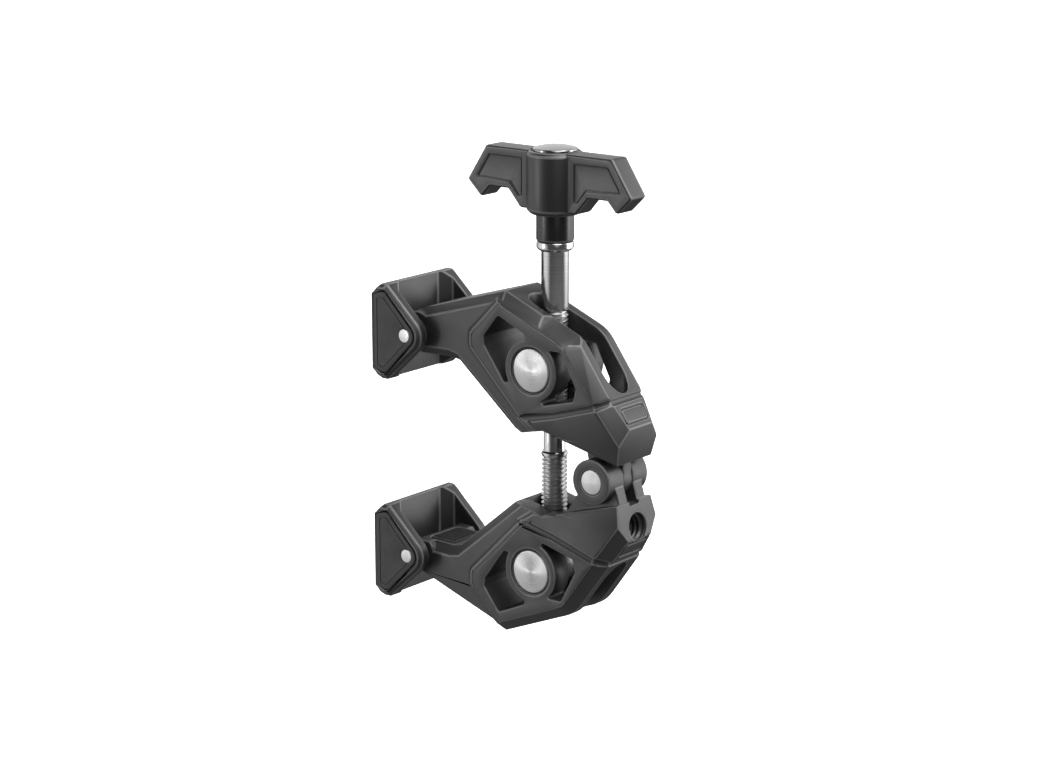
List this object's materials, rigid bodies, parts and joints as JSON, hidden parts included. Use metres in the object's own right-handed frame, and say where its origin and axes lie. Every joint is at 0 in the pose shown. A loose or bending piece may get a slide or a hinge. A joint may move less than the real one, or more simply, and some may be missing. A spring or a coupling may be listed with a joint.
{
  "type": "super clamp",
  "caption": "Hinged grip clamp closed by a T-handled screw through swivel nuts, with tilting jaw shoes and a threaded accessory hole.",
  "frame": {"origin": "centre of the accessory hole's mouth on the lower jaw's rear face", "axes": "+Z along the spindle from the lower jaw to the T-handle with the clamp fully open, +X from the jaw shoes to the hinge, +Y across the jaws"},
  "size_m": [0.0675, 0.0254, 0.1127],
  "materials": {
    "jaw_aluminium": "black anodised over fine bead blasting, edges slightly brighter",
    "handle_aluminium": "black anodised, fine blasted, slightly rougher than the jaws",
    "sleeve_black": "satin black turned sleeve",
    "spindle_steel": "bright polished steel with rolled threads",
    "nut_steel": "faced steel with fine concentric turning marks",
    "pin_steel": "bright ground steel",
    "screw_chrome": "polished domed screw head",
    "shoe_plastic": "black glass-filled nylon with a fine spark texture",
    "plate_rubber": "dark grey rubber inlay, fine stipple",
    "pad_rubber": "black rubber with shallow ribs"
  },
  "bodies": {
    "lower_jaw": {"lower_jaw": "jaw_aluminium", "lower_grip_pad": "pad_rubber", "hinge_pin": "pin_steel"},
    "upper_jaw": {"upper_jaw": "jaw_aluminium", "upper_grip_pad": "pad_rubber"},
    "lower_nut": {"lower_barrel_nut": "nut_steel"},
    "upper_nut": {"upper_barrel_nut": "nut_steel"},
    "spindle_carrier": {"spindle_washer": "spindle_steel"},
    "spindle": {"spindle": "spindle_steel", "t_handle": "handle_aluminium", "handle_sleeve": "sleeve_black", "handle_screw": "screw_chrome", "spindle_end_ring": "pin_steel"},
    "upper_shoe": {"upper_shoe": "shoe_plastic", "upper_shoe_plate_near": "plate_rubber", "upper_shoe_plate_far": "plate_rubber", "upper_shoe_face_pad": "pad_rubber", "upper_shoe_pin": "pin_steel"},
    "lower_shoe": {"lower_shoe": "shoe_plastic", "lower_shoe_plate_near": "plate_rubber", "lower_shoe_plate_far": "plate_rubber", "lower_shoe_face_pad": "pad_rubber", "lower_shoe_pin": "pin_steel"}
  },
  "joints": [
    {"name": "spindle_slide", "type": "slide", "parent": "lower_nut", "child": "spindle_carrier", "axis": [0, 0, -1], "range_m": [0, 0.0034]},
    {"name": "knob_turn", "type": "hinge", "parent": "spindle_carrier", "child": "spindle", "pos_m": [-0.02317, 0, 0.06045], "axis": [0, 0, -1], "range_deg": [0, 1225]},
    {"name": "jaw_hinge", "type": "hinge", "parent": "lower_jaw", "child": "upper_jaw", "pos_m": [-0.00752, 0, 0.01045], "axis": [0, -1, 0], "range_deg": [0, 22]},
    {"name": "lower_nut_swivel", "type": "hinge", "parent": "lower_jaw", "child": "lower_nut", "pos_m": [-0.02317, 0, -0.01288], "axis": [0, -1, 0], "range_deg": [0, 11]},
    {"name": "upper_nut_swivel", "type": "hinge", "parent": "upper_jaw", "child": "upper_nut", "pos_m": [-0.02317, 0, 0.03378], "axis": [0, 1, 0], "range_deg": [0, 11]},
    {"name": "upper_shoe_tilt", "type": "hinge", "parent": "upper_jaw", "child": "upper_shoe", "pos_m": [-0.05677, 0, 0.03765], "axis": [0, -1, 0], "range_deg": [-50, 90]},
    {"name": "lower_shoe_tilt", "type": "hinge", "parent": "lower_jaw", "child": "lower_shoe", "pos_m": [-0.05677, 0, -0.01475], "axis": [0, 1, 0], "range_deg": [-50, 90]}
  ],
  "couplings": [
    {"joint": "knob_turn", "follows": "spindle_slide", "rad_per_m": 6283.2},
    {"joint": "jaw_hinge", "follows": "spindle_slide", "rad_per_m": 112.84},
    {"joint": "lower_nut_swivel", "follows": "spindle_slide", "rad_per_m": 56.42},
    {"joint": "upper_nut_swivel", "follows": "spindle_slide", "rad_per_m": 56.42}
  ]
}
